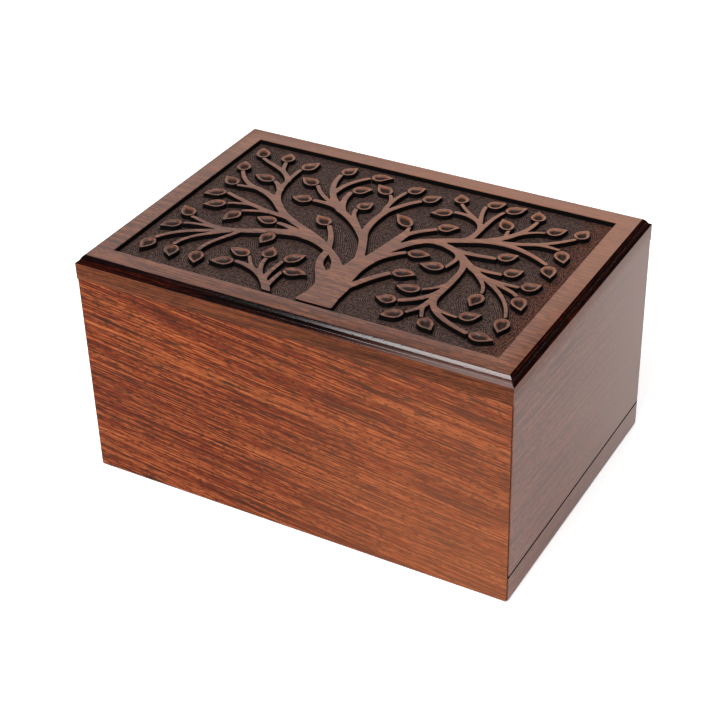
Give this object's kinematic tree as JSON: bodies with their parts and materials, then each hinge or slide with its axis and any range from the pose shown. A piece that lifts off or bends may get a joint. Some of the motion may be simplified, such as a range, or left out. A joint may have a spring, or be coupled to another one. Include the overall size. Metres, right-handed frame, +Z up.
{
  "type": "cremation urn box",
  "caption": "Hollow rosewood keepsake box with a tree carved in relief in its top board and a base panel that slides out.",
  "frame": {"origin": "centre of the box's footprint at the height of the surface it stands on", "axes": "+Z up, +X along the long side towards the end that the base panel slides out of, +Y from the long front face that shows to the back"},
  "size_m": [0.2286, 0.158, 0.1225],
  "materials": {
    "top_rosewood": "oiled and lacquered, semi-gloss",
    "front_wall_rosewood": "oiled and lacquered, semi-gloss",
    "back_wall_rosewood": "oiled and lacquered, semi-gloss",
    "left_wall_rosewood": "oiled and lacquered, semi-gloss",
    "right_wall_rosewood": "oiled and lacquered, semi-gloss",
    "base_rosewood": "oiled, satin"
  },
  "bodies": {
    "box": {"carved_top": "top_rosewood", "front_wall": "front_wall_rosewood", "back_wall": "back_wall_rosewood", "left_wall": "left_wall_rosewood", "right_wall": "right_wall_rosewood"},
    "panel": {"base_panel": "base_rosewood"}
  },
  "joints": [
    {"name": "base_slide", "type": "slide", "parent": "box", "child": "panel", "axis": [1, 0, 0], "range_m": [0, 0.21]}
  ]
}
